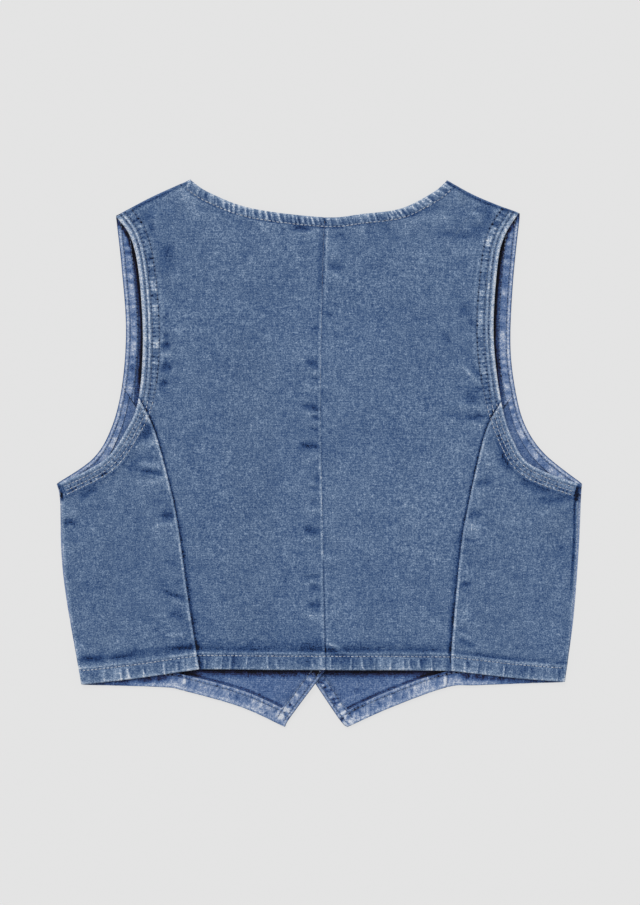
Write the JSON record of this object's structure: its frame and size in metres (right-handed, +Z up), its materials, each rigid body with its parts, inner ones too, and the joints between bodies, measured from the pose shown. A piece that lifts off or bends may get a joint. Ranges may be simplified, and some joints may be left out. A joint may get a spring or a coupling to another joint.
{
  "type": "denim vest",
  "caption": "Cropped denim vest laid flat with its back up: panelled back with princess seams, turned hem and armholes, and pointed fronts buttoned underneath.",
  "frame": {"origin": "on the surface that the vest lies on, under the middle of its outline", "axes": "+X to the right of the vest as it lies, which is its right side; +Y from the hem to the neck; +Z up"},
  "size_m": [0.48, 0.5, 0.0097],
  "materials": {
    "denim_outside": "washed mid-blue twill",
    "denim_inside": "inside of washed mid-blue twill",
    "button": "dulled metal"
  },
  "bodies": {
    "root": {"back_armhole_facing_lower_left": "denim_inside", "back_armhole_facing_lower_right": "denim_inside", "back_armhole_facing_upper_left": "denim_inside", "back_armhole_facing_upper_right": "denim_inside", "back_centre_left": "denim_outside", "back_centre_right": "denim_outside", "back_hem_centre_left": "denim_inside", "back_hem_centre_right": "denim_inside", "back_hem_side_left": "denim_inside", "back_hem_side_right": "denim_inside", "back_neck_turning_left": "denim_inside", "back_neck_turning_right": "denim_inside", "back_side_left": "denim_outside", "back_side_right": "denim_outside", "button_1": "button", "button_2": "button", "button_3": "button", "button_4": "button", "button_5": "button", "front_armhole_facing_lower_left": "denim_inside", "front_armhole_facing_lower_right": "denim_inside", "front_armhole_facing_upper_left": "denim_inside", "front_armhole_facing_upper_right": "denim_inside", "front_centre_left": "denim_outside", "front_centre_right": "denim_outside", "front_edge_turning_left": "denim_inside", "front_edge_turning_right": "denim_inside", "front_hem_centre_left": "denim_inside", "front_hem_centre_right": "denim_inside", "front_hem_side_left": "denim_inside", "front_hem_side_right": "denim_inside", "front_side_left": "denim_outside", "front_side_right": "denim_outside"}
  },
  "joints": []
}
